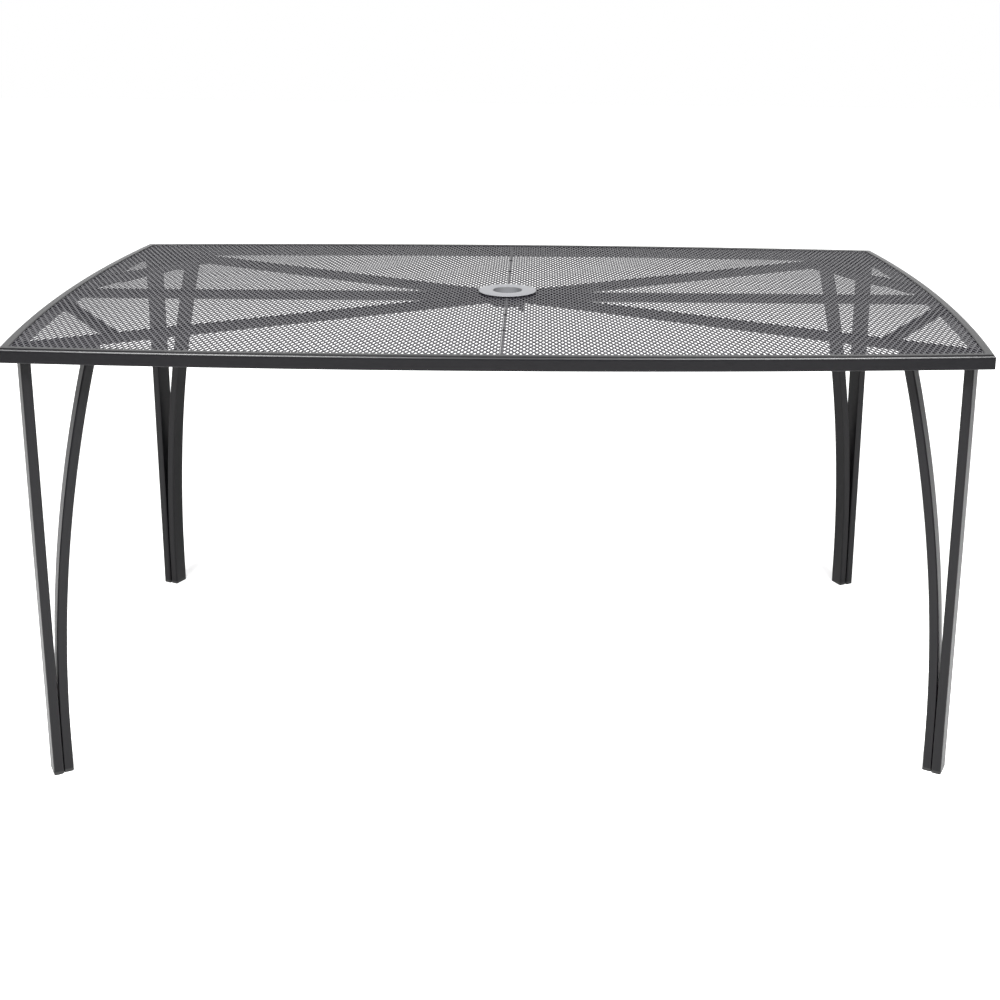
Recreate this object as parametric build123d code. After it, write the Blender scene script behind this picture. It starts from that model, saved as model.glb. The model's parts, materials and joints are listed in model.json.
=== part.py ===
from build123d import *
from build123d.topology import SkipClean
from math import asin, atan2, ceil, cos, degrees, hypot, sqrt
import os

# Garden table: bowed steel rim, expanded-metal top, two-tube legs and an umbrella hole.
# Millimetres. The origin is on the floor under the umbrella hole, +X runs along the table, +Z is up.

# Outline of the top, an arc on each side between four pointed corners
table_height = 720.0
corner_length = 1486.0
corner_width = 854.0
end_bow = 28.0
side_bow = 28.0

# Rim tube, with a ledge along its inner top edge that carries the mesh
rim_height = 22.5
rim_width = 18.0
rim_wall = 1.2
rim_nose_radius = 5.5
rim_edge_radius = 1.5
ledge_width = 3.0
ledge_depth = 3.0

# Longest stretch of a bowed tube between two square joins
bend_step = 60.0

# Expanded-metal sheets, one on each side of the seam
mesh_thickness = 1.6
mesh_edge_gap = 0.4

# Coarse pattern of the expanded metal: staggered six-sided openings inside a plain border
mesh_pitch_x = 80.0
mesh_pitch_y = 150.0
opening_tip = 66.0
opening_flank = 23.5
opening_shoulder = 12.0
opening_least_area = 300.0
mesh_border = 9.0

# Underframe tubes, level with the rim's ledge, and the flat pads under them that the legs bolt to
brace_width = 15.0
brace_height = 14.5
brace_wall = 1.2
brace_corner = 2.0
weld_gap = 0.2
end_brace_spread = 66.0
end_brace_reach = 137.0

# Flat bars on edge under the seam, and the tack welds on it
seam_bar_width = 3.0
seam_bar_height = 14.0
seam_weld_radius = 4.0
seam_weld_crown = 2.4
seam_weld_height = 0.9
seam_weld_places = (180.0, 286.0)

# Plastic umbrella ring in a steel collar
umbrella_bore = 51.0
ring_flange_diameter = 102.0
ring_flange_thickness = 3.6
ring_edge_thickness = 1.6
ring_lip_radius = 1.2
ring_spigot_wall = 2.8
ring_spigot_length = 9.0
ring_clearance = 0.4
collar_wall = 3.8

# Clamp screw through the collar, with a flat thumb paddle
clamp_angle = -65.0
clamp_height = 6.0
clamp_travel = 16.0
clamp_stop_gap = 0.5
clamp_tip_setback = 0.3
paddle_length = 12.0
paddle_height = 15.0
paddle_thickness = 4.0
paddle_corner = 3.0

# Threaded fasteners
bolt_diameter = 6.0
bolt_clearance = 0.3
bolt_head_height = 4.0
bolt_end = 2.0
hex_across_flats = 10.0
nut_height = 5.0
washer_diameter = 12.0
washer_thickness = 1.6

# Legs: a straight outer tube and a bowed inner tube, in the plane of the diagonal brace
foot_inset_x = 22.0
foot_inset_y = 46.0
leg_tube_depth = 15.5
outer_tube_width = 35.0
inner_tube_width = 30.0
leg_tube_wall = 1.2
leg_tube_corner = 3.0
leg_tube_gap = 0.3
leg_bend_start = 68.0
leg_bend_radius = 2440.0
plate_width = 38.0
plate_thickness = 4.0
plate_margin = 5.0
plate_corner = 4.0

# Plastic plugs in the tube ends
glide_height = 6.0
glide_insert = 18.0
glide_round = 2.0
glide_clearance = 0.3


def bow_radius(half_chord, bow):
    """Radius of the arc that rises by bow over a chord."""
    return (half_chord**2 + bow**2) / (2 * bow)


side_mid = corner_width / 2 + side_bow
end_mid = corner_length / 2 + end_bow
side_radius = bow_radius(corner_length / 2, side_bow)
end_radius = bow_radius(corner_width / 2, end_bow)

rim_bottom = table_height - rim_height
ledge_top = table_height - ledge_depth
mesh_top = ledge_top + mesh_thickness
brace_bottom = ledge_top - brace_height

spigot_radius = umbrella_bore / 2 + ring_spigot_wall
collar_radius = spigot_radius + ring_clearance
collar_outer = collar_radius + collar_wall

foot_x = corner_length / 2 - foot_inset_x
foot_y = corner_width / 2 - foot_inset_y
hub_distance = hypot(foot_x, foot_y)
leg_top = rim_bottom - plate_thickness
leg_spacing = leg_tube_depth + leg_tube_gap
leg_bend_angle = asin((leg_top - leg_bend_start) / leg_bend_radius)
leg_splay = leg_spacing + leg_bend_radius * (1 - cos(leg_bend_angle))
leg_half_top = leg_tube_depth / 2 / cos(leg_bend_angle)
bolt_hole_radius = bolt_diameter / 2 + bolt_clearance

corners = {
    "front_left": (-1, -1),
    "front_right": (1, -1),
    "back_left": (-1, 1),
    "back_right": (1, 1),
}
half_turn = Rot(0, 0, 180)


def outline_corner(inset):
    """Corner of the top's outline moved inwards by inset, in the +X +Y quarter."""
    side_center = side_mid - side_radius
    end_center = end_mid - end_radius
    apart = hypot(side_center, end_center)
    side_r = side_radius - inset
    end_r = end_radius - inset
    along = (side_r**2 - end_r**2 + apart**2) / (2 * apart)
    across = sqrt(side_r**2 - along**2)
    ux, uy = end_center / apart, -side_center / apart
    return Vector(along * ux + across * uy, side_center + along * uy - across * ux)


def outline(inset):
    """Face inside the four bowed sides, each moved inwards by inset."""
    corner = outline_corner(inset)
    x, y = corner.X, corner.Y
    arcs = [
        ThreePointArc((-x, -y), (0, inset - side_mid), (x, -y)),
        ThreePointArc((x, -y), (end_mid - inset, 0), (x, y)),
        ThreePointArc((x, y), (0, side_mid - inset), (-x, y)),
        ThreePointArc((-x, y), (inset - end_mid, 0), (-x, -y)),
    ]
    return make_face(arcs)


def slab(face, low, high):
    """Prism of a flat face between two heights."""
    return Pos(0, 0, low) * extrude(face, high - low)


def hollow_rectangle(depth, width, corner, wall):
    """Section of a rectangular tube with rounded corners."""
    bore_corner = max(corner - wall, wall / 4)
    bore = RectangleRounded(depth - 2 * wall, width - 2 * wall, bore_corner)
    return RectangleRounded(depth, width, corner) - bore


def hexagon():
    return RegularPolygon(hex_across_flats / sqrt(3), 6)


def rim_section(radius, inset):
    """Rim profile shrunk by inset, with its outer face at radius from the bow's axis."""
    outer = radius - inset
    inner = radius - rim_width + inset
    step = radius - rim_width + ledge_width + inset
    low, high, seat = rim_bottom + inset, table_height - inset, ledge_top - inset
    points = [(outer, low), (outer, high), (step, high), (step, seat), (inner, seat), (inner, low)]
    section = make_face(Polyline(*points, close=True))
    for place, rounding in (
        (points[1], rim_nose_radius),
        (points[0], rim_edge_radius),
        (points[2], rim_edge_radius),
        (points[5], rim_edge_radius),
    ):
        if rounding > inset:
            vertex = section.vertices().sort_by_distance(Vector(*place))[0]
            section = fillet(vertex, rounding - inset)
    return section


def bowed_rail(radius, half_chord):
    """Rim tube turned about its bow's axis, long enough to be mitred."""
    sweep_half = degrees(asin(half_chord / radius)) + degrees(2 * rim_width / radius)
    section = rim_section(radius, 0) - rim_section(radius, rim_wall)
    return Rot(0, 0, -sweep_half) * revolve(Plane.XZ * section, Axis.Z, 2 * sweep_half)


def in_stretches(tube, axis, start, end, step):
    """The same bowed tube built up from short stretches along an axis, so that no face is long."""
    count = ceil((end - start) / step)
    run = (end - start) / count
    wide = 4 * end_mid
    sizes = [run if axis == letter else wide for letter in "XYZ"]
    pieces = []
    for i in range(count):
        middle = start + run * (i + 0.5)
        window = Pos(*[middle if axis == letter else 0 for letter in "XYZ"]) * Box(*sizes)
        pieces.append((tube & window).solids()[0])
    with SkipClean():
        return pieces[0].fuse(*pieces[1:])


def mitre_sector(along_x):
    """Prism between two mitre planes: the back side's share of the rim, or the right end's."""
    outer, inner = outline_corner(0), outline_corner(rim_width)
    reach = 3 * (rim_width + max(side_bow, end_bow)) / rim_width
    far = outer + (outer - inner) * reach
    near = outer + (inner - outer) * reach
    if along_x:
        points = [(far.X, far.Y), (-far.X, far.Y), (-near.X, near.Y), (near.X, near.Y)]
    else:
        points = [(far.X, far.Y), (near.X, near.Y), (near.X, -near.Y), (far.X, -far.Y)]
    wedge = make_face(Polyline(*points, close=True))
    return slab(wedge, rim_bottom - rim_height, table_height + rim_height)


def side_rail():
    """Back rail of the rim."""
    turned = Rot(0, 0, 90) * bowed_rail(side_radius, corner_length / 2)
    rail = Pos(0, side_mid - side_radius, 0) * turned & mitre_sector(True)
    return in_stretches(rail, "X", -corner_length / 2, corner_length / 2, bend_step)


def end_rail():
    """Right end rail of the rim."""
    placed = Pos(end_mid - end_radius, 0, 0) * bowed_rail(end_radius, corner_width / 2)
    rail = placed & mitre_sector(False)
    return in_stretches(rail, "Y", -corner_width / 2, corner_width / 2, bend_step)


def mesh_openings():
    """Faces of the right sheet's openings, cut off along its border, the seam and the ring."""
    seam = seam_bar_width / 2 + mesh_edge_gap + mesh_border
    room = outline(rim_width - ledge_width + mesh_edge_gap + mesh_border)
    room = room & Pos(seam, 0) * Rectangle(end_mid, 2 * side_mid, align=(Align.MIN, Align.CENTER))
    room = room - Circle(ring_flange_diameter / 2 + mesh_border)
    right = [(0, -opening_tip), (opening_flank, -opening_shoulder), (opening_flank, opening_shoulder)]
    opening = make_face(Polyline(*right, *[(-x, -y) for x, y in right], close=True))
    faces = []
    for column in range(ceil(2 * end_mid / mesh_pitch_x) + 1):
        shift = mesh_pitch_y / 2 * (column % 2)
        reach = ceil(side_mid / mesh_pitch_y) + 1
        for row in range(-reach, reach + 1):
            cut = room & Pos(column * mesh_pitch_x / 2, row * mesh_pitch_y + shift) * opening
            faces += [face for face in cut.faces() if face.area > opening_least_area] if cut else []
    return faces


def mesh_sheet(side):
    """Sheet of one expanded-metal panel, on the rim's ledge and the braces."""
    sheet = slab(outline(rim_width - ledge_width + mesh_edge_gap), ledge_top, mesh_top)
    edge = seam_bar_width / 2 + mesh_edge_gap
    half = Rectangle(end_mid, 2 * side_mid, align=(Align.MIN, Align.CENTER))
    sheet = sheet & slab(Pos(edge, 0) * half, ledge_top, mesh_top)
    sheet = sheet - slab(Circle(collar_radius), ledge_top, mesh_top)
    sheet = sheet - [slab(face, ledge_top, mesh_top) for face in mesh_openings()]
    return sheet if side > 0 else half_turn * sheet


def seam_bar():
    """Back seam bar, on edge from the collar to the back rail."""
    start = collar_outer + weld_gap
    length = side_mid - rim_width - weld_gap - start
    bar = Rectangle(seam_bar_width, length, align=(Align.CENTER, Align.MIN))
    return slab(Pos(0, start) * bar, mesh_top - seam_bar_height, mesh_top)


def seam_welds():
    """Low beads where the two sheets are tacked to the seam bars."""
    flat = (Align.CENTER, Align.CENTER, Align.MIN)
    bead = Cone(seam_weld_radius, seam_weld_crown, seam_weld_height, align=flat)
    places = [side * place for place in seam_weld_places for side in (-1, 1)]
    return Compound(children=[Pos(0, y, mesh_top) * bead for y in places])


def brace_tube(start, end, grown=None):
    """Rectangular tube between two points of the plan, or a solid bar grown by a gap on each side."""
    run = Vector(*end) - Vector(*start)
    if grown is None:
        section = hollow_rectangle(brace_width, brace_height, brace_corner, brace_wall)
    else:
        section = Rectangle(brace_width + 2 * grown, brace_height + 2 * grown)
    middle = (brace_bottom + ledge_top) / 2
    plane = Plane((start[0], start[1], middle), x_dir=(-run.Y, run.X, 0), z_dir=(run.X, run.Y, 0))
    return extrude(plane * section, run.length)


def trim_to_frame(brace):
    """Cut a brace back to the inside of the rim and the outside of the collar."""
    room = slab(outline(rim_width + weld_gap), rim_bottom, ledge_top)
    hub = slab(Circle(collar_outer + weld_gap), rim_bottom, ledge_top)
    return brace & room - hub


def spine():
    """Right half of the lengthwise brace."""
    return trim_to_frame(brace_tube((0, 0), (end_mid, 0)))


def bolt_places():
    """Distances of the leg bolts from the outer tube, evenly between the two tubes."""
    start, end = leg_tube_depth / 2, leg_splay - leg_half_top
    return [start + (end - start) * share for share in (1 / 3, 2 / 3)]


def leg_place(sign_x, sign_y):
    """Frame of one leg: on the floor under its outer tube, with local +X towards the hub."""
    heading = degrees(atan2(-sign_y * foot_y, -sign_x * foot_x))
    return Pos(sign_x * foot_x, sign_y * foot_y, 0) * Rot(0, 0, heading)


def diagonal_brace(sign_x, sign_y):
    """Brace from the collar over the leg to the end rail, with clearance holes for the leg bolts."""
    reach = 1 + (rim_width + end_bow) * 2 / foot_x
    brace = trim_to_frame(brace_tube((0, 0), (sign_x * foot_x * reach, sign_y * foot_y * reach)))
    brace = brace - brace_tube((0, 0), (sign_x * end_mid, 0), weld_gap)
    holes = [Pos(s, 0) * Circle(bolt_hole_radius) for s in bolt_places()]
    drill = slab(Sketch() + holes, brace_bottom, brace_bottom + brace_wall)
    return brace - leg_place(sign_x, sign_y) * drill


def end_brace(sign_x, sign_y):
    """Short brace from the end rail to the side of the diagonal, just inside the leg."""
    share = 1 - end_brace_reach / hub_distance
    landing = (sign_x * foot_x * share, sign_y * foot_y * share)
    rail_end = (sign_x * (end_mid - rim_width / 2), sign_y * end_brace_spread)
    brace = trim_to_frame(brace_tube(rail_end, landing))
    return brace - brace_tube((0, 0), (sign_x * foot_x, sign_y * foot_y), weld_gap)


def radial_part(shape):
    """Move a part built along +X onto the clamp screw's axis."""
    return Pos(0, 0, rim_bottom + clamp_height) * Rot(0, 0, clamp_angle) * shape


def rod(start, end, section):
    """Prism along +X of a section drawn about the axis."""
    return extrude(Plane((start, 0, 0), x_dir=(0, 1, 0), z_dir=(1, 0, 0)) * section, end - start)


def umbrella_collar():
    """Steel ring that the braces are welded to."""
    collar = slab(Circle(collar_outer) - Circle(collar_radius), rim_bottom, ledge_top)
    return collar - radial_part(rod(0, collar_outer + collar_wall, Circle(bolt_hole_radius)))


def umbrella_ring():
    """Plastic ring with a crowned flange on the mesh and a spigot in the collar."""
    bore, edge = umbrella_bore / 2, ring_flange_diameter / 2
    crown = mesh_top + ring_flange_thickness
    rise = (ring_flange_thickness - ring_edge_thickness) / 4
    lip = bore + 2 * ring_lip_radius
    sides = Polyline(
        (lip, crown),
        (bore, crown),
        (bore, mesh_top - ring_spigot_length),
        (spigot_radius, mesh_top - ring_spigot_length),
        (spigot_radius, mesh_top),
        (edge, mesh_top),
        (edge, mesh_top + ring_edge_thickness),
    )
    top = ThreePointArc(
        (edge, mesh_top + ring_edge_thickness),
        ((edge + lip) / 2, crown - rise),
        (lip, crown),
    )
    section = make_face([sides, top])
    inner_lip = section.vertices().sort_by_distance(Vector(bore, crown))[0]
    section = fillet(inner_lip, ring_lip_radius)
    return revolve(Plane.XZ * section, Axis.Z)


def clamp_nut():
    """Nut welded to the outside of the collar."""
    start = collar_outer + weld_gap
    return radial_part(rod(start, start + nut_height, hexagon() - Circle(bolt_hole_radius)))


def clamp_screw():
    """Thumb screw, backed off so that its tip is clear of the hole."""
    tip = collar_radius + clamp_tip_setback
    paddle_start = collar_outer + weld_gap + nut_height + clamp_stop_gap + clamp_travel
    middle = paddle_start + paddle_length / 2
    shank = rod(tip, middle, Circle(bolt_diameter / 2))
    leaf = extrude(
        Plane.XZ * Pos(middle, 0) * RectangleRounded(paddle_length, paddle_height, paddle_corner),
        paddle_thickness / 2,
        both=True,
    )
    return radial_part(shank + leaf)


def leg_section(width):
    return hollow_rectangle(leg_tube_depth, width, leg_tube_corner, leg_tube_wall)


def outer_tube():
    """Straight tube of a leg, in the leg's own frame."""
    return slab(leg_section(outer_tube_width), glide_height, leg_top)


def inner_tube():
    """Tube that runs beside the straight one, then bows away from it towards the hub."""
    overrun = leg_bend_angle + leg_tube_depth / leg_bend_radius

    def bend(share):
        turn = Rot(0, degrees(overrun * share), 0)
        centre = Pos(leg_spacing + leg_bend_radius, 0, leg_bend_start)
        return (centre * turn * Pos(-leg_bend_radius, 0, 0)).position

    straight = Line((leg_spacing, 0, glide_height), bend(0))
    path = Wire([straight, ThreePointArc(bend(0), bend(0.5), bend(1))])
    section = Pos(leg_spacing, 0, glide_height) * leg_section(inner_tube_width)
    tube = sweep(section, path=path)
    tube = split(tube, bisect_by=Plane.XY.offset(leg_top), keep=Keep.BOTTOM)
    return in_stretches(tube, "Z", glide_height, leg_top, bend_step / 2)


def plate_blank():
    """Face of the plate across the tops of both tubes, with a clearance hole for each bolt."""
    start = -leg_tube_depth / 2 - plate_margin
    end = leg_splay + leg_half_top + plate_margin
    blank = Pos((start + end) / 2, 0) * RectangleRounded(end - start, plate_width, plate_corner)
    return blank - [Pos(s, 0) * Circle(bolt_hole_radius) for s in bolt_places()]


def leg_plate():
    """Flat plate on the tops of a leg's two tubes."""
    return slab(plate_blank(), leg_top, rim_bottom)


def mounting_pad(sign_x, sign_y):
    """Flat pad between the leg plate and the diagonal, as far as the inside of the rim."""
    pad = leg_place(sign_x, sign_y) * slab(plate_blank(), rim_bottom, brace_bottom)
    return pad & slab(outline(rim_width + weld_gap), rim_bottom, brace_bottom)


def foot_glide(width):
    """Plug in the end of a tube, with a rounded foot."""
    foot = slab(RectangleRounded(leg_tube_depth, width, leg_tube_corner), 0, glide_height)
    foot = fillet(foot.faces().sort_by(Axis.Z)[0].edges(), min(glide_round, leg_tube_corner * 0.9))
    trim = 2 * (leg_tube_wall + glide_clearance)
    corner = max(leg_tube_corner - trim / 2, leg_tube_wall / 4)
    insert = RectangleRounded(leg_tube_depth - trim, width - trim, corner)
    return foot + slab(insert, glide_height, glide_height + glide_insert)


def leg_bolt():
    """Hex bolt from below, through washer, plate, pad and brace wall into the weld nut."""
    head_top = leg_top - washer_thickness
    shank_top = brace_bottom + brace_wall + nut_height + bolt_end
    head = slab(hexagon(), head_top - bolt_head_height, head_top)
    return head + slab(Circle(bolt_diameter / 2), head_top, shank_top)


def leg_washer():
    ring = Circle(washer_diameter / 2) - Circle(bolt_hole_radius)
    return slab(ring, leg_top - washer_thickness, leg_top)


def weld_nut():
    low = brace_bottom + brace_wall
    return slab(hexagon() - Circle(bolt_hole_radius), low, low + nut_height)


def at_bolts(fastener):
    """One fastener at every leg bolt, as a group of separate solids."""
    spots = [leg_place(*sign) * Pos(s, 0, 0) for sign in corners.values() for s in bolt_places()]
    return Compound(children=[spot * fastener for spot in spots])


back_rail = side_rail()
right_end_rail = end_rail()
nodes = {
    "front_rail": half_turn * back_rail,
    "back_rail": back_rail,
    "left_end_rail": half_turn * right_end_rail,
    "right_end_rail": right_end_rail,
    "mesh_sheet_left": mesh_sheet(-1),
    "mesh_sheet_right": mesh_sheet(1),
    "seam_bar_front": half_turn * seam_bar(),
    "seam_bar_back": seam_bar(),
    "seam_welds": seam_welds(),
    "spine_left": half_turn * spine(),
    "spine_right": spine(),
    "umbrella_collar": umbrella_collar(),
    "umbrella_ring": umbrella_ring(),
    "clamp_nut": clamp_nut(),
    "clamp_screw": clamp_screw(),
    "leg_bolts": at_bolts(leg_bolt()),
    "leg_washers": at_bolts(leg_washer()),
    "weld_nuts": at_bolts(weld_nut()),
}
straight_tube, bowed_tube, top_plate = outer_tube(), inner_tube(), leg_plate()
for corner, sign in corners.items():
    place = leg_place(*sign)
    plugs = ((0, outer_tube_width), (leg_spacing, inner_tube_width))
    glides = [place * Pos(s, 0, 0) * foot_glide(width) for s, width in plugs]
    nodes["diagonal_brace_" + corner] = diagonal_brace(*sign)
    nodes["end_brace_" + corner] = end_brace(*sign)
    nodes["outer_tube_" + corner] = place * straight_tube
    nodes["inner_tube_" + corner] = place * bowed_tube
    nodes["leg_plate_" + corner] = place * top_plate
    nodes["mounting_pad_" + corner] = mounting_pad(*sign)
    nodes["foot_glides_" + corner] = Compound(children=glides)

os.makedirs("parts", exist_ok=True)
for name, shape in nodes.items():
    export_step(shape, "parts/" + name + ".step")
    print(name, len(shape.solids()), round(shape.volume / 1000, 2), "cm3")
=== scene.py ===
import bpy
import json
import math
import numpy as np
from mathutils import Matrix


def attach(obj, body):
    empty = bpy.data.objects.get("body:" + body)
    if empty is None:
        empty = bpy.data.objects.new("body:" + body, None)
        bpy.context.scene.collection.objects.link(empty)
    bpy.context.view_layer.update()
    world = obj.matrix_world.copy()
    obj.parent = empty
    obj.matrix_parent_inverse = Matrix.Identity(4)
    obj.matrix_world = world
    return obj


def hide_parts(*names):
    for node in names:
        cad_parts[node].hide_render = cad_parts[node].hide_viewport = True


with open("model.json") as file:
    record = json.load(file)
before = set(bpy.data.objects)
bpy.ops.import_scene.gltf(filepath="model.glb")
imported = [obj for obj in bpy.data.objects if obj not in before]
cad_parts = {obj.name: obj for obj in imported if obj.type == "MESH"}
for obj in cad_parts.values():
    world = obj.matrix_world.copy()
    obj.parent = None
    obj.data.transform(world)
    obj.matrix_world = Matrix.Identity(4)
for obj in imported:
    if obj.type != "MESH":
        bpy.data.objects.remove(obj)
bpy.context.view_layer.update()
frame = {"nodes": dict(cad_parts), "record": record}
print("frame loaded:", len(frame["nodes"]), "nodes")

mm = 0.001

# top outline: four arcs between pointed corners, all in millimetres
tableTop = {
    "height": 720.0,
    "cornerLength": 1486.0,
    "cornerWidth": 854.0,
    "endBow": 28.0,
    "sideBow": 28.0,
}
sideMid = tableTop["cornerWidth"] / 2 + tableTop["sideBow"]
endMid = tableTop["cornerLength"] / 2 + tableTop["endBow"]
sideRadius = ((tableTop["cornerLength"] / 2) ** 2 + tableTop["sideBow"] ** 2) / (2 * tableTop["sideBow"])
endRadius = ((tableTop["cornerWidth"] / 2) ** 2 + tableTop["endBow"] ** 2) / (2 * tableTop["endBow"])
sideCenter = sideMid - sideRadius
endCenter = endMid - endRadius


# mesh helpers


def newPiece(name, verts, faces, material, body, smoothAngle=35):
    mesh = bpy.data.meshes.new(name)
    mesh.from_pydata(np.asarray(verts) * mm, [], faces if isinstance(faces, list) else faces.tolist())
    mesh.polygons.foreach_set("use_smooth", np.ones(len(mesh.polygons), bool))
    if smoothAngle:
        mesh.set_sharp_from_angle(angle=math.radians(smoothAngle))
    mesh.update()
    piece = bpy.data.objects.new(name, mesh)
    bpy.context.scene.collection.objects.link(piece)
    mesh.materials.append(material)
    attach(piece, body)
    return piece


def gridFaces(rows, cols, wrap=True):
    # quads of a grid of rows by cols points; wrap joins the last column to the first
    r, c = np.meshgrid(np.arange(rows - 1), np.arange(cols if wrap else cols - 1), indexing="ij")
    n = (c + 1) % cols
    return np.stack([r * cols + c, r * cols + n, (r + 1) * cols + n, (r + 1) * cols + c], -1).reshape(-1, 4)


def cappedLoops(loops):
    # closed loops one after another (rows, cols, 3), with a flat cap on the first and the last
    rows, cols = loops.shape[:2]
    faces = gridFaces(rows, cols).tolist()
    faces.append(list(range(cols))[::-1])
    faces.append(list(range((rows - 1) * cols, rows * cols)))
    return loops.reshape(-1, 3), faces


def roundedLoop(points, radii, steps=6, hold=0.25):
    # polygon with each corner swept as an arc; two extra points beside each arc keep the flats flat
    pts = np.asarray(points, float)
    out = []
    for i, radius in enumerate(radii):
        p, a, b = pts[i], pts[i - 1], pts[(i + 1) % len(pts)]
        ua = (a - p) / np.linalg.norm(a - p)
        ub = (b - p) / np.linalg.norm(b - p)
        if radius <= 0:
            out.append(p[None])
            continue
        half = math.acos(np.clip(ua @ ub, -1, 1)) / 2
        cut = radius / math.tan(half)
        mid = (ua + ub) / np.linalg.norm(ua + ub)
        center = p + mid * radius / math.sin(half)
        t = np.linspace(0, 1, steps + 1)[:, None]
        start, stop = p + ua * cut - center, p + ub * cut - center
        span = math.pi - 2 * half
        arc = center + (np.sin((1 - t) * span) * start + np.sin(t * span) * stop) / math.sin(span)
        out += [(p + ua * (cut + hold))[None], arc, (p + ub * (cut + hold))[None]]
    return np.concatenate(out)


def outlineCorner(inset):
    # where the long side's circle and the end's circle cross, both moved inwards by inset
    inset = np.asarray(inset, float)
    apart = math.hypot(sideCenter, endCenter)
    rs, re = sideRadius - inset, endRadius - inset
    along = (rs**2 - re**2 + apart**2) / (2 * apart)
    across = np.sqrt(rs**2 - along**2)
    ux, uy = endCenter / apart, -sideCenter / apart
    return along * ux + across * uy, sideCenter + along * uy - across * ux


# shader groups


def newGroup(name, inputs, outputs):
    tree = bpy.data.node_groups.new(name, "ShaderNodeTree")
    for label, kind, value in inputs:
        socket = tree.interface.new_socket(label, in_out="INPUT", socket_type=kind)
        socket.default_value = value
    for label, kind in outputs:
        tree.interface.new_socket(label, in_out="OUTPUT", socket_type=kind)
    return tree, tree.nodes.new("NodeGroupInput"), tree.nodes.new("NodeGroupOutput")


def addNode(tree, kind, links=None, **settings):
    node = tree.nodes.new(kind)
    for key, value in settings.items():
        setattr(node, key, value)
    for socket, value in (links or {}).items():
        target = node.inputs[socket]
        if isinstance(value, bpy.types.NodeSocket):
            tree.links.new(value, target)
        else:
            target.default_value = value
    return node


def powderCoatGroup():
    # baked powder paint: broad tone drift, fine pebbled skin, rare pale specks
    tree, given, made = newGroup(
        "powderCoat",
        [
            ("Paint", "NodeSocketColor", (0.03, 0.03, 0.03, 1)),
            ("Drift", "NodeSocketFloat", 0.25),
            ("Roughness", "NodeSocketFloat", 0.42),
            ("Pebble Size", "NodeSocketFloat", 700.0),
        ],
        [("Color", "NodeSocketColor"), ("Roughness", "NodeSocketFloat"), ("Height", "NodeSocketFloat")],
    )
    place = addNode(tree, "ShaderNodeTexCoord").outputs["Object"]
    cloud = {"Vector": place, "Scale": 7.0, "Detail": 4.0, "Roughness": 0.6}
    broad = addNode(tree, "ShaderNodeTexNoise", cloud)
    pebble = addNode(
        tree,
        "ShaderNodeTexNoise",
        {"Vector": place, "Scale": given.outputs["Pebble Size"], "Detail": 2.0, "Roughness": 0.55},
    )
    speck = addNode(tree, "ShaderNodeTexVoronoi", {"Vector": place, "Scale": 420.0}, feature="F1")
    drift = addNode(tree, "ShaderNodeMath", {0: broad.outputs["Fac"], 1: 0.5}, operation="SUBTRACT")
    share = {0: drift.outputs[0], 1: given.outputs["Drift"]}
    gain = addNode(tree, "ShaderNodeMath", share, operation="MULTIPLY")
    level = addNode(tree, "ShaderNodeMath", {0: gain.outputs[0], 1: 1.0}, operation="ADD")
    toned = addNode(tree, "ShaderNodeVectorMath", {0: given.outputs["Paint"]}, operation="SCALE")
    tree.links.new(level.outputs[0], toned.inputs["Scale"])
    near = {"Value": speck.outputs["Distance"], "From Min": 0.02, "From Max": 0.10}
    fleck = addNode(tree, "ShaderNodeMapRange", {**near, "To Min": 0.06, "To Max": 0.0})
    color = addNode(
        tree,
        "ShaderNodeMix",
        {"Factor": fleck.outputs["Result"], "A": toned.outputs["Vector"], "B": (0.08, 0.08, 0.085, 1)},
        data_type="RGBA",
    )
    rough = addNode(
        tree,
        "ShaderNodeMapRange",
        {"Value": pebble.outputs["Fac"], "From Min": 0.3, "From Max": 0.7, "To Min": -0.05, "To Max": 0.05},
    )
    roughOut = addNode(
        tree, "ShaderNodeMath", {0: given.outputs["Roughness"], 1: rough.outputs["Result"]}, operation="ADD"
    )
    tree.links.new([s for s in color.outputs if s.type == "RGBA"][0], made.inputs["Color"])
    tree.links.new(roughOut.outputs[0], made.inputs["Roughness"])
    tree.links.new(pebble.outputs["Fac"], made.inputs["Height"])
    return tree


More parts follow.
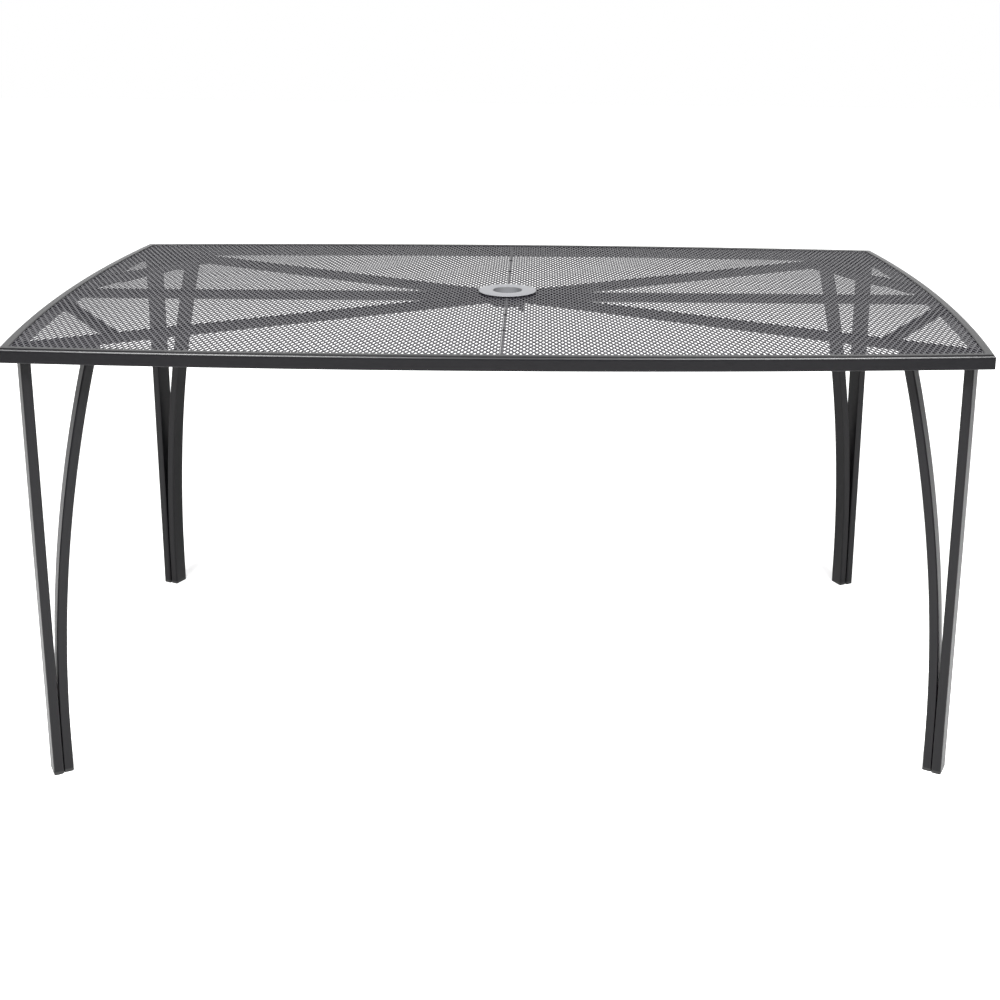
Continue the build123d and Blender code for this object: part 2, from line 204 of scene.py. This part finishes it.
def mouldedGroup():
    # moulded plastic: faint cloudy tone, very fine spark-eroded grain, painted shade darkening the inside of
    # a bore
    tree, given, made = newGroup(
        "mouldedSkin",
        [
            ("Tint", "NodeSocketColor", (0.5, 0.5, 0.5, 1)),
            ("Roughness", "NodeSocketFloat", 0.4),
            ("Bore Radius", "NodeSocketFloat", 0.0),
        ],
        [("Color", "NodeSocketColor"), ("Roughness", "NodeSocketFloat"), ("Height", "NodeSocketFloat")],
    )
    place = addNode(tree, "ShaderNodeTexCoord").outputs["Object"]
    cloud = addNode(tree, "ShaderNodeTexNoise", {"Vector": place, "Scale": 60.0, "Detail": 3.0})
    grain = addNode(tree, "ShaderNodeTexNoise", {"Vector": place, "Scale": 1600.0, "Detail": 1.0})
    level = addNode(
        tree,
        "ShaderNodeMapRange",
        {"Value": cloud.outputs["Fac"], "From Min": 0.3, "From Max": 0.7, "To Min": 0.95, "To Max": 1.04},
    )
    plan = addNode(tree, "ShaderNodeVectorMath", {0: place, 1: (1, 1, 0)}, operation="MULTIPLY")
    flat = plan.outputs["Vector"]
    away = addNode(tree, "ShaderNodeVectorMath", {0: flat}, operation="LENGTH").outputs["Value"]
    # painted shade: the tint falls to 0.6 just inside the bore radius, where the hole's wall lies in shadow
    past = addNode(tree, "ShaderNodeMath", {0: away, 1: given.outputs["Bore Radius"]}, operation="SUBTRACT")
    paintedBoreShadeRange = {"Value": past.outputs[0], "From Min": 0.0002, "From Max": 0.0015, "To Min": 0.6, "To Max": 1.0}
    paintedBoreShade = addNode(tree, "ShaderNodeMapRange", paintedBoreShadeRange).outputs["Result"]
    tone = addNode(tree, "ShaderNodeMath", {0: level.outputs["Result"], 1: paintedBoreShade}, operation="MULTIPLY")
    toned = addNode(tree, "ShaderNodeVectorMath", {0: given.outputs["Tint"]}, operation="SCALE")
    tree.links.new(tone.outputs[0], toned.inputs["Scale"])
    rough = addNode(
        tree,
        "ShaderNodeMapRange",
        {"Value": grain.outputs["Fac"], "From Min": 0.3, "From Max": 0.7, "To Min": -0.04, "To Max": 0.04},
    )
    roughOut = addNode(
        tree, "ShaderNodeMath", {0: given.outputs["Roughness"], 1: rough.outputs["Result"]}, operation="ADD"
    )
    tree.links.new(toned.outputs["Vector"], made.inputs["Color"])
    tree.links.new(roughOut.outputs[0], made.inputs["Roughness"])
    tree.links.new(grain.outputs["Fac"], made.inputs["Height"])
    return tree


powderCoat = powderCoatGroup()
mouldedSkin = mouldedGroup()


def finishFrom(name, group, values, bump, bumpDepth, specular=0.5):
    # one Principled surface fed by a group's colour, roughness and height
    material = bpy.data.materials.new(name)
    material.use_nodes = True
    tree = material.node_tree
    surface = tree.nodes["Principled BSDF"]
    surface.inputs["Specular IOR Level"].default_value = specular
    skin = addNode(tree, "ShaderNodeGroup", node_tree=group)
    for label, value in values.items():
        skin.inputs[label].default_value = value
    relief = addNode(
        tree,
        "ShaderNodeBump",
        {"Strength": bump, "Distance": bumpDepth, "Height": skin.outputs["Height"]},
    )
    tree.links.new(skin.outputs["Color"], surface.inputs["Base Color"])
    tree.links.new(skin.outputs["Roughness"], surface.inputs["Roughness"])
    tree.links.new(relief.outputs["Normal"], surface.inputs["Normal"])
    return material


paintLook = {
    "frame": (0.0015, 0.0014, 0.002, 1),
    "mesh": (0.0075, 0.0068, 0.0102, 1),
    "seam": (0.018, 0.0175, 0.0195, 1),
    "screw": (0.012, 0.012, 0.013, 1),
}
framePaint = finishFrom(
    "framePaint", powderCoat, {"Paint": paintLook["frame"], "Drift": 0.3, "Roughness": 0.34},
    0.08, 0.0002, 0.24,
)
meshPaint = finishFrom(
    "meshPaint", powderCoat, {"Paint": paintLook["mesh"], "Drift": 0.25, "Roughness": 0.4}, 0.2, 0.0002, 0.48
)
screwPaint = finishFrom(
    "screwPaint", powderCoat, {"Paint": paintLook["screw"], "Drift": 0.3, "Roughness": 0.45}, 0.2, 0.0002, 0.3
)
weldPaint = finishFrom(
    "weldPaint", powderCoat, {"Paint": paintLook["frame"], "Drift": 0.3, "Roughness": 0.8}, 0.2, 0.0002, 0.1
)
seamPaint = finishFrom(
    "seamPaint", powderCoat, {"Paint": paintLook["seam"], "Drift": 0.3, "Roughness": 0.6}, 0.2, 0.0002, 0.4
)
ringPlastic = finishFrom(
    "ringPlastic",
    mouldedSkin,
    {"Tint": (0.102, 0.1035, 0.11, 1), "Roughness": 0.42, "Bore Radius": 0.0255},
    0.15,
    0.0001,
    0.4,
)
glidePlastic = finishFrom(
    "glidePlastic", mouldedSkin, {"Tint": (0.012, 0.012, 0.012, 1), "Roughness": 0.5}, 0.2, 0.0001, 0.3
)


def zincFinish():
    # bright zinc plating with drifting dull patches
    material = bpy.data.materials.new("zincPlate")
    material.use_nodes = True
    tree = material.node_tree
    surface = tree.nodes["Principled BSDF"]
    surface.inputs["Metallic"].default_value = 1.0
    place = addNode(tree, "ShaderNodeTexCoord").outputs["Object"]
    patch = addNode(tree, "ShaderNodeTexNoise", {"Vector": place, "Scale": 180.0, "Detail": 4.0})
    ramp = addNode(tree, "ShaderNodeValToRGB", {"Fac": patch.outputs["Fac"]})
    ramp.color_ramp.elements[0].color = (0.36, 0.36, 0.34, 1)
    ramp.color_ramp.elements[1].color = (0.62, 0.62, 0.60, 1)
    rough = addNode(
        tree, "ShaderNodeMapRange", {"Value": patch.outputs["Fac"], "To Min": 0.48, "To Max": 0.28}
    )
    tree.links.new(ramp.outputs["Color"], surface.inputs["Base Color"])
    tree.links.new(rough.outputs["Result"], surface.inputs["Roughness"])
    return material


zincPlate = zincFinish()
slotFinish = {
    "frame_paint": framePaint,
    "mesh_paint": meshPaint,
    "ring_plastic": ringPlastic,
    "glide_plastic": glidePlastic,
    "screw_paint": screwPaint,
    "zinc_steel": zincPlate,
}
for subpart in frame["record"]["subparts"]:
    node = frame["nodes"][subpart["node"]]
    node.data.materials.clear()
    node.data.materials.append(slotFinish[subpart["material_slot"]])
for name in ("seam_bar_front", "seam_bar_back"):
    frame["nodes"][name].data.materials[0] = seamPaint  # dull where the sheets were joined
print("finishes ready")


# rim

rim = {
    "height": 22.5, "width": 18.0, "nose": 5.5, "edge": 1.5,
    "ledgeWidth": 3.0, "ledgeDepth": 3.0, "stations": 97,
}


def rimProfile():
    # closed loop of (inset from the outer face, height): rounded nose, flat top, step to the ledge
    top, low = tableTop["height"], tableTop["height"] - rim["height"]
    step = rim["width"] - rim["ledgeWidth"]
    seat = top - rim["ledgeDepth"]
    points = [(0, low), (0, top), (step, top), (step, seat), (rim["width"], seat), (rim["width"], low)]
    return roundedLoop(points, [rim["edge"], rim["nose"], rim["edge"], 0, 0.4, rim["edge"]])


def bowedRail(alongX, sign):
    # each profile point runs along its own arc, inset from the side's circle, between the two mitres
    profile = rimProfile()
    inset, z = profile[:, 0], profile[:, 1]
    cx, cy = outlineCorner(inset)
    radius, center, half = (sideRadius, sideCenter, cx) if alongX else (endRadius, endCenter, cy)
    reach = np.arcsin(half / (radius - inset))
    t = np.linspace(-1, 1, rim["stations"])[:, None]
    run = (radius - inset) * np.sin(t * reach)
    out = center + (radius - inset) * np.cos(t * reach)
    height = np.broadcast_to(z, run.shape)
    if alongX:
        loops = np.stack([run * sign, out * sign, height], -1)
    else:
        loops = np.stack([out * sign, -run * sign, height], -1)
    return cappedLoops(loops)


rails = {
    "front_rail": (True, -1), "back_rail": (True, 1),
    "left_end_rail": (False, -1), "right_end_rail": (False, 1),
}
for name, (alongX, sign) in rails.items():
    verts, faces = bowedRail(alongX, sign)
    piece = newPiece(name + "_tube", verts, faces, framePaint, "table")
    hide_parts(name)
print("rim built")


# expanded-metal sheets

sheet = {
    "pitchX": 9.75,  # across the diamonds
    "pitchY": 20.5,  # along the diamonds
    "tip": 8.6,  # centre of an opening to its point
    "flank": 2.65,  # centre of an opening to its side
    "shoulder": 1.5,  # half the straight part of the side
    "low": 717.0,
    "thick": 1.6,
    "edgeGap": 0.4,
    "seamHalf": 1.9,
    "holeRadius": 28.7,
}


def outsideBy(xy):
    # how far a point lies outside one sheet: past a bowed side, past the seam, or in the hole
    x, y = xy[..., 0], xy[..., 1]
    inset = rim["width"] - rim["ledgeWidth"] + sheet["edgeGap"]
    sides = np.hypot(x, np.abs(y) - sideCenter) - (sideRadius - inset)
    ends = np.hypot(x - endCenter, y) - (endRadius - inset)
    hole = sheet["holeRadius"] - np.hypot(x, y)
    return np.maximum.reduce([sides, ends, sheet["seamHalf"] - x, hole])


def expandedSheet(side):
    # staggered lattice of six-sided openings; two strands and one bond for each, cut along the edges
    px, py, a, b, d = (sheet[k] for k in ("pitchX", "pitchY", "tip", "flank", "shoulder"))
    cols = np.arange(-1, int(endMid / px * 2) + 3)
    rows = np.arange(-int(sideMid / py) - 2, int(sideMid / py) + 3)
    c, r = np.meshgrid(cols, rows, indexing="ij")
    centers = np.stack([c * px / 2, (r + 0.5 * (c % 2)) * py], -1).reshape(-1, 1, 1, 2)
    p = {
        "A": (b, d), "B": (0, a), "C": (px / 2 - b, py / 2 - d), "D": (px / 2, py / 2 - a),
        "E": (-b, d), "F": (-px / 2 + b, py / 2 - d), "G": (-px / 2, py / 2 - a),
        "H": (b, -d), "I": (px / 2, a - py / 2), "J": (px - b, -d), "K": (px - b, d),
    }
    picks = ["ADB", "DCB", "EBG", "GBF", "HID", "HDA", "IJD", "JKD"]
    cell = np.array([[p[k] for k in pick] for pick in picks])
    tris = (centers + cell).reshape(-1, 3, 2)

    # cut every triangle where it leaves the sheet, keeping the inner part
    f = outsideBy(tris)
    count = (f <= 0).sum(1)
    kept = [tris[count == 3]]
    for inside in (1, 2):
        t, g = tris[count == inside], f[count == inside]
        lone = np.argmax(g <= 0 if inside == 1 else g > 0, 1)
        order = (lone[:, None] + np.arange(3)) % 3
        t = np.take_along_axis(t, order[..., None], 1)
        g = np.take_along_axis(g, order, 1)
        m = t[:, 0] + (t[:, 1] - t[:, 0]) * (g[:, 0] / (g[:, 0] - g[:, 1]))[:, None]
        n = t[:, 0] + (t[:, 2] - t[:, 0]) * (g[:, 0] / (g[:, 0] - g[:, 2]))[:, None]
        if inside == 1:
            kept.append(np.stack([t[:, 0], m, n], 1))
        else:
            kept += [np.stack([m, t[:, 1], t[:, 2]], 1), np.stack([m, t[:, 2], n], 1)]
    tris = np.concatenate(kept)
    if side < 0:
        tris = -tris  # the left sheet is the right one turned half round
    points, index = np.unique(np.round(tris.reshape(-1, 2), 3) + 0.0, axis=0, return_inverse=True)
    flat = index.reshape(-1, 3)
    flat = flat[(flat != np.roll(flat, 1, 1)).all(1)]

    # an edge that no neighbour runs the other way bounds the metal, and gets a wall
    n = len(points)
    start, stop = flat.ravel(), np.roll(flat, -1, 1).ravel()
    bare = ~np.isin(start * n + stop, stop * n + start)
    start, stop = start[bare], stop[bare]
    levels = [np.insert(points, 2, z, 1) for z in (sheet["low"], sheet["low"] + sheet["thick"])]
    walls = np.stack([start, stop, stop + n, start + n], 1)
    return np.concatenate(levels), np.concatenate([flat + n, flat[:, ::-1]]), walls


for side, name in ((-1, "mesh_sheet_left"), (1, "mesh_sheet_right")):
    verts, flat, walls = expandedSheet(side)
    faces = flat.tolist() + walls.tolist()
    piece = newPiece(name + "_expanded", verts, faces, meshPaint, "table", smoothAngle=0)
    piece.data.polygons.foreach_set("use_smooth", np.zeros(len(piece.data.polygons), bool))
    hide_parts(name)
    print(name, "triangles", len(flat) + 2 * len(walls))


# legs

leg = {
    "insetX": 22.0, "insetY": 46.0, "depth": 15.5, "outerWidth": 35.0, "innerWidth": 30.0, "corner": 3.0,
    "gap": 0.3, "low": 6.0, "plate": 4.0, "bendStart": 68.0, "bendRadius": 2440.0,
}
legSpacing = leg["depth"] + leg["gap"]
legTop = tableTop["height"] - rim["height"] - leg["plate"]
footX = tableTop["cornerLength"] / 2 - leg["insetX"]
footY = tableTop["cornerWidth"] / 2 - leg["insetY"]
legCorners = {"front_left": (-1, -1), "front_right": (1, -1), "back_left": (-1, 1), "back_right": (1, 1)}


def tubeLoop(width):
    # rounded rectangle across a leg tube: first towards the hub, then across
    x, y = leg["depth"] / 2, width / 2
    return roundedLoop([(-x, -y), (x, -y), (x, y), (-x, y)], [leg["corner"]] * 4)


def placeLeg(local, signs):
    # local (towards the hub, across, up) to the table's frame
    q = np.array([signs[0] * footX, signs[1] * footY])
    e = -q / np.linalg.norm(q)
    s, b, z = local[..., 0], local[..., 1], local[..., 2]
    return np.stack([q[0] + s * e[0] - b * e[1], q[1] + s * e[1] + b * e[0], z], -1)


def straightTube():
    loop = tubeLoop(leg["outerWidth"])
    z = np.linspace(leg["low"], legTop, 8)
    flat = np.broadcast_to(loop, (len(z),) + loop.shape)
    height = np.broadcast_to(z[:, None, None], flat.shape[:2] + (1,))
    return np.concatenate([flat, height], -1)


def bowedTube(stations=60):
    # straight beside the outer tube, then an arc towards the hub; each edge stops at the same flat height
    a, b = tubeLoop(leg["innerWidth"]).T
    ring = leg["bendRadius"] - a
    stop = np.arcsin((legTop - leg["bendStart"]) / ring)
    t = np.linspace(0, 1, stations)[:, None]
    arcS = legSpacing + leg["bendRadius"] - ring * np.cos(t * stop)
    arcZ = leg["bendStart"] + ring * np.sin(t * stop)
    z = np.array([leg["low"], leg["low"] + 0.3, 30])[:, None]
    lowS = np.broadcast_to(legSpacing + a, (3, len(a)))
    s = np.concatenate([lowS, arcS])
    height = np.concatenate([np.broadcast_to(z, (3, len(a))), arcZ])
    return np.stack([s, np.broadcast_to(b, s.shape), height], -1)


for corner, signs in legCorners.items():
    for kind, loops in (("outer_tube_", straightTube()), ("inner_tube_", bowedTube())):
        verts, faces = cappedLoops(placeLeg(loops, signs))
        piece = newPiece(kind + corner + "_skin", verts, faces, framePaint, "table")
        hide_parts(kind + corner)
print("legs built")


# umbrella ring

ringShape = {
    "bore": 25.5, "edge": 51.0, "foot": 42.0, "seat": 718.6, "crown": 3.6, "brim": 1.7,
    "spigot": 9.0, "spigotOut": 28.3, "dome": 0.35,
}


def lathe(profile, turns=128):
    # profile of (radius, height) carried round the vertical axis and closed on itself
    angle = np.linspace(0, 2 * math.pi, turns, endpoint=False)
    r, z = profile[:, 0], profile[:, 1]
    x, y = np.outer(np.cos(angle), r), np.outer(np.sin(angle), r)
    points = np.stack([x, y, np.broadcast_to(z, x.shape)], -1)
    rows, cols = x.shape
    k, c = np.meshgrid(np.arange(rows), np.arange(cols), indexing="ij")
    n, m = (k + 1) % rows, (c + 1) % cols
    faces = np.stack([k * cols + c, n * cols + c, n * cols + m, k * cols + m], -1).reshape(-1, 4)
    return points.reshape(-1, 3), faces


def ringProfile():
    # spigot, foot on the mesh, then a thin brim that overhangs it; the top is a shallow parabola
    g = ringShape
    low, seat, top = g["seat"] - g["spigot"], g["seat"], g["seat"] + g["crown"]
    reach = np.linspace(g["edge"] - 1.5, g["bore"] + 1.5, 6)
    middle, half = (g["edge"] + g["bore"]) / 2, (g["edge"] - g["bore"]) / 2
    dome = [(r, top - g["dome"] * ((r - middle) / half) ** 2) for r in reach]
    points = [(g["bore"], low), (g["spigotOut"], low), (g["spigotOut"], seat), (g["foot"], seat)]
    points += [(g["foot"], top - g["brim"]), (g["edge"], top - g["brim"]), (g["edge"], top - g["dome"])]
    points += dome + [(g["bore"], top - g["dome"])]
    radii = [0.5, 0.5, 0, 0.3, 0.3, 0.4, 0.7] + [0] * len(dome) + [0.7]
    return roundedLoop(points, radii, steps=4, hold=0.1)


verts, faces = lathe(ringProfile())
umbrellaRing = newPiece("umbrella_ring_moulding", verts, faces, ringPlastic, "table", 40)
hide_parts("umbrella_ring")
print("ring built")


# tack welds on the seam

bead = {"radius": 4.0, "height": 0.9, "places": (180.0, 286.0), "rings": 7, "turns": 28}


def weldBead(y, turn):
    # low dome with a faintly wavy rim: radius falls as a cosine, height rises as a sine, flat underneath
    t = np.linspace(0, math.pi / 2, bead["rings"])[:, None]
    angle = np.linspace(0, 2 * math.pi, bead["turns"], endpoint=False) + turn
    wave = 0.94 + 0.06 * np.sin(3 * angle + turn)
    r = bead["radius"] * np.maximum(np.cos(t), 0.02) * wave
    z = sheet["low"] + sheet["thick"] + bead["height"] * np.sin(t) + 0 * angle
    return np.stack([r * np.cos(angle), y + r * np.sin(angle), z], -1)


for end, y in enumerate(side * place for place in bead["places"] for side in (-1, 1)):
    verts, faces = cappedLoops(weldBead(y, 1.3 * end))
    piece = newPiece("seam_weld_bead_" + str(end + 1), verts, faces, weldPaint, "table")
    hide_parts("seam_welds")
print("welds built")


# clamp screw, along its own axis from the tip outwards

screw = {
    "angle": -65.0, "height": 6.0, "radius": 3.0, "pitch": 1.0, "root": 0.45,
    "tip": 29.0, "threadEnd": 52.0, "paddleStart": 54.2, "paddleLength": 12.0, "paddleHeight": 15.0,
    "paddleThick": 4.0, "paddleCorner": 3.0, "paddleEdge": 1.0,
}


def alongScrew(points):
    # local (out from the hole, sideways, up) to the table's frame
    w = math.radians(screw["angle"])
    x, y, z = points[..., 0], points[..., 1], points[..., 2]
    level = tableTop["height"] - rim["height"] + screw["height"]
    return np.stack([x * math.cos(w) - y * math.sin(w), x * math.sin(w) + y * math.cos(w), z + level], -1)


def threadedShank():
    # radius = full radius less a triangle wave of the turns made, so the groove climbs one pitch a turn
    stop = screw["paddleStart"] + screw["paddleLength"] / 2
    x = np.linspace(screw["tip"], stop, int((stop - screw["tip"]) / screw["pitch"] * 6))[:, None]
    angle = np.linspace(0, 2 * math.pi, 24, endpoint=False)
    turns = x / screw["pitch"] - angle / (2 * math.pi)
    groove = screw["root"] * np.abs(2 * (turns % 1) - 1) * (x < screw["threadEnd"])
    chamfer = np.maximum(0.8 - (x - screw["tip"]), 0)
    r = screw["radius"] - np.maximum(groove, chamfer)
    return np.stack([x + 0 * angle, r * np.cos(angle), r * np.sin(angle)], -1)


def thumbPaddle():
    # rounded rectangle swept across its thickness, drawn in by a quarter circle at both faces
    half, edge = screw["paddleThick"] / 2, screw["paddleEdge"]
    t = np.linspace(0, math.pi / 2, 5)
    y = np.concatenate([half - edge + edge * np.cos(t), -(half - edge + edge * np.cos(t))[::-1]])
    pull = np.concatenate([edge * (1 - np.sin(t)), (edge * (1 - np.sin(t)))[::-1]])
    middle = screw["paddleStart"] + screw["paddleLength"] / 2
    loops = []
    for across, inset in zip(y, pull):
        a, b = screw["paddleLength"] / 2 - inset, screw["paddleHeight"] / 2 - inset
        corner = [(-a, -b), (a, -b), (a, b), (-a, b)]
        flat = roundedLoop(corner, [screw["paddleCorner"] - inset] * 4)
        loops.append(np.stack([flat[:, 0] + middle, np.full(len(flat), across), flat[:, 1]], -1))
    return np.stack(loops)


for name, loops in (("clamp_screw_shank", threadedShank()), ("clamp_screw_paddle", thumbPaddle())):
    verts, faces = cappedLoops(alongScrew(loops))
    piece = newPiece(name, verts, faces, screwPaint, "clamp_screw")
    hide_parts("clamp_screw")
print("clamp screw built")


# floor, light and camera


def seenDirectly(tree):
    # one where the camera looks, also through glass
    path = addNode(tree, "ShaderNodeLightPath").outputs
    both = {0: path["Is Camera Ray"], 1: path["Is Transmission Ray"]}
    return addNode(tree, "ShaderNodeMath", both, operation="MAXIMUM").outputs[0]


def studio():
    # the floor's own glow grows with distance, so it runs into the white backdrop without a horizon;
    # the room, and the floor in reflections, is bright behind the table and dimmer towards the camera
    s = 12.0
    mesh = bpy.data.meshes.new("studioFloor")
    mesh.from_pydata([(-s, -s, 0), (s, -s, 0), (s, s, 0), (-s, s, 0)], [], [(0, 1, 2, 3)])
    floor = bpy.data.objects.new("studioFloor", mesh)
    bpy.context.scene.collection.objects.link(floor)
    pale = bpy.data.materials.new("studioWhite")
    pale.use_nodes = True
    tree = pale.node_tree
    surface = tree.nodes["Principled BSDF"]
    surface.inputs["Base Color"].default_value = (0.6, 0.6, 0.6, 1)
    surface.inputs["Roughness"].default_value = 0.9
    surface.inputs["Specular IOR Level"].default_value = 0.0
    place = addNode(tree, "ShaderNodeTexCoord").outputs["Object"]
    away = addNode(tree, "ShaderNodeVectorMath", {0: place}, operation="LENGTH").outputs["Value"]
    rise = {"Value": away, "From Min": 1.2, "From Max": 3.0, "To Min": 0.4, "To Max": 1.0}
    level = addNode(tree, "ShaderNodeMapRange", rise, interpolation_type="SMOOTHSTEP").outputs["Result"]
    across = addNode(tree, "ShaderNodeSeparateXYZ", {"Vector": place}).outputs
    aside = addNode(tree, "ShaderNodeMath", {0: across["X"]}, operation="ABSOLUTE").outputs[0]
    spread = addNode(tree, "ShaderNodeMath", {0: aside, 1: 0.8}, operation="MULTIPLY").outputs[0]
    depth = addNode(tree, "ShaderNodeMath", {0: across["Y"], 1: spread}, operation="SUBTRACT").outputs[0]
    rear = {"Value": depth, "From Min": 0.5, "From Max": 2.0, "To Min": 0.0, "To Max": 1.0}
    behind = addNode(tree, "ShaderNodeMapRange", rear, interpolation_type="SMOOTHSTEP").outputs["Result"]
    mirrored = addNode(tree, "ShaderNodeLightPath").outputs["Is Glossy Ray"]
    shine = addNode(tree, "ShaderNodeMath", {0: behind, 1: mirrored}, operation="MULTIPLY").outputs[0]
    seen = addNode(tree, "ShaderNodeMath", {0: seenDirectly(tree), 1: shine}, operation="MAXIMUM").outputs[0]
    glow = addNode(tree, "ShaderNodeMath", {0: seen, 1: level}, operation="MULTIPLY")
    surface.inputs["Emission Color"].default_value = (1, 1, 1, 1)
    tree.links.new(glow.outputs[0], surface.inputs["Emission Strength"])
    mesh.materials.append(pale)

    world = bpy.data.worlds.new("studioWorld")
    world.use_nodes = True
    bpy.context.scene.world = world
    tree = world.node_tree
    sky = tree.nodes["Background"]
    toward = addNode(tree, "ShaderNodeTexCoord").outputs["Generated"]
    behind = addNode(tree, "ShaderNodeSeparateXYZ", {"Vector": toward}).outputs["Y"]
    fade = {"Value": behind, "From Min": 0.15, "From Max": 0.9, "To Min": 0.18, "To Max": 1.0}
    room = addNode(tree, "ShaderNodeMapRange", fade, interpolation_type="SMOOTHSTEP").outputs["Result"]
    level = addNode(tree, "ShaderNodeMath", {0: seenDirectly(tree), 1: room}, operation="MAXIMUM")
    sky.inputs["Color"].default_value = (1, 1, 1, 1)
    tree.links.new(level.outputs[0], sky.inputs["Strength"])


def softbox(name, place, target, size, power):
    light = bpy.data.lights.new(name, "AREA")
    light.shape = "RECTANGLE"
    light.size, light.size_y = size
    light.energy = power
    lamp = bpy.data.objects.new(name, light)
    bpy.context.scene.collection.objects.link(lamp)
    back = np.array(place, float) - np.array(target, float)
    z = back / np.linalg.norm(back)
    x = np.cross((0, 0, 1), z) if abs(z[2]) < 0.99 else np.array([1.0, 0, 0])
    x = x / np.linalg.norm(x)
    y = np.cross(z, x)
    turn = Matrix([(x[i], y[i], z[i], place[i]) for i in range(3)] + [(0, 0, 0, 1)])
    lamp.matrix_world = turn


studio()
softbox("softboxTop", (0, 0.3, 3.0), (0, 0, 0.7), (2.6, 2.0), 32)
softbox("softboxRear", (0, 3.2, 1.05), (0, 0, 0.72), (4.5, 0.6), 10)
for side, name in ((-1, "Left"), (1, "Right")):
    softbox("strip" + name, (side * 1.3, -2.3, 2.7), (side * 0.6, -0.2, 0.7), (1.3, 0.8), 280)
    softbox("softbox" + name, (side * 3.0, 0.2, 0.7), (0, 0, 0.2), (1.6, 1.0), 10)

view = {
    "pitch": 14.148, "roll": 0.8096, "yaw": -1.6169,  # degrees: nose down, tilt, turn
    "focal": 1443.38, "middle": (577.76, 338.36),  # pixels of the 1000 x 1000 picture
    "place": (55.16, -2505.19, 1265.78),
}


def photoCamera():
    p, r, w = (math.radians(view[k]) for k in ("pitch", "roll", "yaw"))
    turned = np.array([(math.cos(w), math.sin(w), 0), (-math.sin(w), math.cos(w), 0), (0, 0, 1)])
    right = turned[0]
    down = -(math.sin(p) * turned[1] + math.cos(p) * turned[2])
    ahead = math.cos(p) * turned[1] - math.sin(p) * turned[2]
    right, down = math.cos(r) * right - math.sin(r) * down, math.sin(r) * right + math.cos(r) * down
    data = bpy.data.cameras.new("photoCamera")
    data.sensor_width = 36
    data.lens = view["focal"] * 36 / 1000
    data.shift_x = (500 - view["middle"][0]) / 1000
    data.shift_y = (view["middle"][1] - 500) / 1000
    data.clip_end = 60
    camera = bpy.data.objects.new("photoCamera", data)
    bpy.context.scene.collection.objects.link(camera)
    axes = np.stack([right, -down, -ahead], 1)
    place = np.array(view["place"]) * mm
    camera.matrix_world = Matrix([(*axes[i], place[i]) for i in range(3)] + [(0, 0, 0, 1)])
    bpy.context.scene.camera = camera


photoCamera()
bpy.context.scene.view_settings.view_transform = "Standard"
print("camera, floor and light set")
